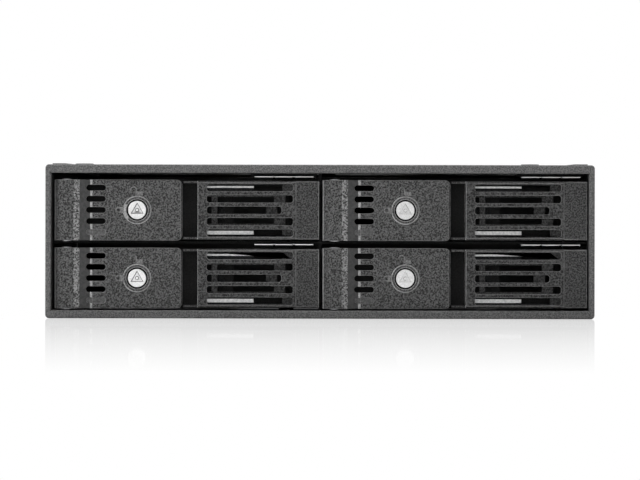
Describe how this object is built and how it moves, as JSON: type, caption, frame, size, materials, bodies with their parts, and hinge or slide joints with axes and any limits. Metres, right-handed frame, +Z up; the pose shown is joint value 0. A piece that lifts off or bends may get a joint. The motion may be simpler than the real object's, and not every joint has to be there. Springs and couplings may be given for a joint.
{
  "type": "hot swap drive cage",
  "caption": "Half-height bay cage with two rows of hot swap drive trays, each with a hinged vented lever door and a triangular key lock.",
  "frame": {"origin": "under the middle of the cage, on the plane it rests on", "axes": "+X to the right across the front, +Y from the front to the back, +Z up"},
  "size_m": [0.148, 0.1534, 0.042],
  "materials": {
    "sand_black": "sand-textured powder coat",
    "smooth_black": "fine matte powder coat",
    "zinc_steel": "zinc-plated sheet",
    "spring_steel": "bare spring steel",
    "chrome": "nickel-plated, fine turned",
    "screw_steel": "zinc-plated",
    "screw_black": "black oxide",
    "board": "solder-masked board",
    "black_plastic": "moulded",
    "white_plastic": "moulded",
    "fan_plastic": "moulded",
    "clear_plastic": "clear acrylic",
    "lens_plastic": "smoked acrylic",
    "brass": "nickel-flashed brass"
  },
  "bodies": {
    "cage": {"front_bezel": "sand_black", "chassis_shell": "smooth_black", "top_cover": "smooth_black", "centre_wall": "smooth_black", "mid_shelves": "smooth_black", "bay_springs": "spring_steel", "backplane_board": "board", "drive_sockets": "black_plastic", "data_ports": "black_plastic", "power_inlets": "black_plastic", "status_leds": "clear_plastic", "board_standoffs": "brass", "rear_panel": "smooth_black", "fan_frames": "fan_plastic", "fan_screws": "screw_steel", "fan_switch_housing": "black_plastic", "case_screws": "screw_black"},
    "fan_rotor_left": {"fan_rotor_left": "fan_plastic"},
    "fan_rotor_right": {"fan_rotor_right": "fan_plastic"},
    "fan_switch_slider": {"fan_switch_slider": "white_plastic"},
    "tray1": {"tray1_front": "sand_black", "tray1_carrier": "smooth_black", "tray1_bracket": "zinc_steel", "tray1_screws": "screw_black", "tray1_lever_pin": "screw_steel", "tray1_light_pipe": "clear_plastic"},
    "tray1_lever": {"tray1_lever": "sand_black", "tray1_lens": "lens_plastic"},
    "tray1_lock": {"tray1_lock": "chrome", "tray1_lock_cam": "zinc_steel"},
    "tray2": {"tray2_front": "sand_black", "tray2_carrier": "smooth_black", "tray2_bracket": "zinc_steel", "tray2_screws": "screw_black", "tray2_lever_pin": "screw_steel", "tray2_light_pipe": "clear_plastic"},
    "tray2_lever": {"tray2_lever": "sand_black", "tray2_lens": "lens_plastic"},
    "tray2_lock": {"tray2_lock": "chrome", "tray2_lock_cam": "zinc_steel"},
    "tray3": {"tray3_front": "sand_black", "tray3_carrier": "smooth_black", "tray3_bracket": "zinc_steel", "tray3_screws": "screw_black", "tray3_lever_pin": "screw_steel", "tray3_light_pipe": "clear_plastic"},
    "tray3_lever": {"tray3_lever": "sand_black", "tray3_lens": "lens_plastic"},
    "tray3_lock": {"tray3_lock": "chrome", "tray3_lock_cam": "zinc_steel"},
    "tray4": {"tray4_front": "sand_black", "tray4_carrier": "smooth_black", "tray4_bracket": "zinc_steel", "tray4_screws": "screw_black", "tray4_lever_pin": "screw_steel", "tray4_light_pipe": "clear_plastic"},
    "tray4_lever": {"tray4_lever": "sand_black", "tray4_lens": "lens_plastic"},
    "tray4_lock": {"tray4_lock": "chrome", "tray4_lock_cam": "zinc_steel"}
  },
  "joints": [
    {"name": "tray1_slide", "type": "slide", "parent": "cage", "child": "tray1", "axis": [0, -1, 0], "range_m": [0, 0.118]},
    {"name": "tray1_lever_swing", "type": "hinge", "parent": "tray1", "child": "tray1_lever", "pos_m": [-0.0684, -0.0733, 0.02918], "axis": [0, 0, -1], "range_deg": [0, 80]},
    {"name": "tray1_lock_turn", "type": "hinge", "parent": "tray1_lever", "child": "tray1_lock", "pos_m": [-0.0493, -0.0759, 0.02918], "axis": [0, -1, 0], "range_deg": [0, 90]},
    {"name": "tray2_slide", "type": "slide", "parent": "cage", "child": "tray2", "axis": [0, -1, 0], "range_m": [0, 0.118]},
    {"name": "tray2_lever_swing", "type": "hinge", "parent": "tray2", "child": "tray2_lever", "pos_m": [0.0039, -0.0733, 0.02918], "axis": [0, 0, -1], "range_deg": [0, 80]},
    {"name": "tray2_lock_turn", "type": "hinge", "parent": "tray2_lever", "child": "tray2_lock", "pos_m": [0.023, -0.0759, 0.02918], "axis": [0, -1, 0], "range_deg": [0, 90]},
    {"name": "tray3_slide", "type": "slide", "parent": "cage", "child": "tray3", "axis": [0, -1, 0], "range_m": [0, 0.118]},
    {"name": "tray3_lever_swing", "type": "hinge", "parent": "tray3", "child": "tray3_lever", "pos_m": [-0.0684, -0.0733, 0.01083], "axis": [0, 0, -1], "range_deg": [0, 80]},
    {"name": "tray3_lock_turn", "type": "hinge", "parent": "tray3_lever", "child": "tray3_lock", "pos_m": [-0.0493, -0.0759, 0.01083], "axis": [0, -1, 0], "range_deg": [0, 90]},
    {"name": "tray4_slide", "type": "slide", "parent": "cage", "child": "tray4", "axis": [0, -1, 0], "range_m": [0, 0.118]},
    {"name": "tray4_lever_swing", "type": "hinge", "parent": "tray4", "child": "tray4_lever", "pos_m": [0.0039, -0.0733, 0.01083], "axis": [0, 0, -1], "range_deg": [0, 80]},
    {"name": "tray4_lock_turn", "type": "hinge", "parent": "tray4_lever", "child": "tray4_lock", "pos_m": [0.023, -0.0759, 0.01083], "axis": [0, -1, 0], "range_deg": [0, 90]},
    {"name": "fan_rotor_left_spin", "type": "hinge", "parent": "cage", "child": "fan_rotor_left", "pos_m": [-0.05, 0.0703, 0.02074], "axis": [0, 1, 0], "continuous": true},
    {"name": "fan_rotor_right_spin", "type": "hinge", "parent": "cage", "child": "fan_rotor_right", "pos_m": [0.05, 0.0703, 0.02074], "axis": [0, 1, 0], "continuous": true},
    {"name": "fan_switch_slide", "type": "slide", "parent": "cage", "child": "fan_switch_slider", "axis": [1, 0, 0], "range_m": [0, 0.004]}
  ]
}
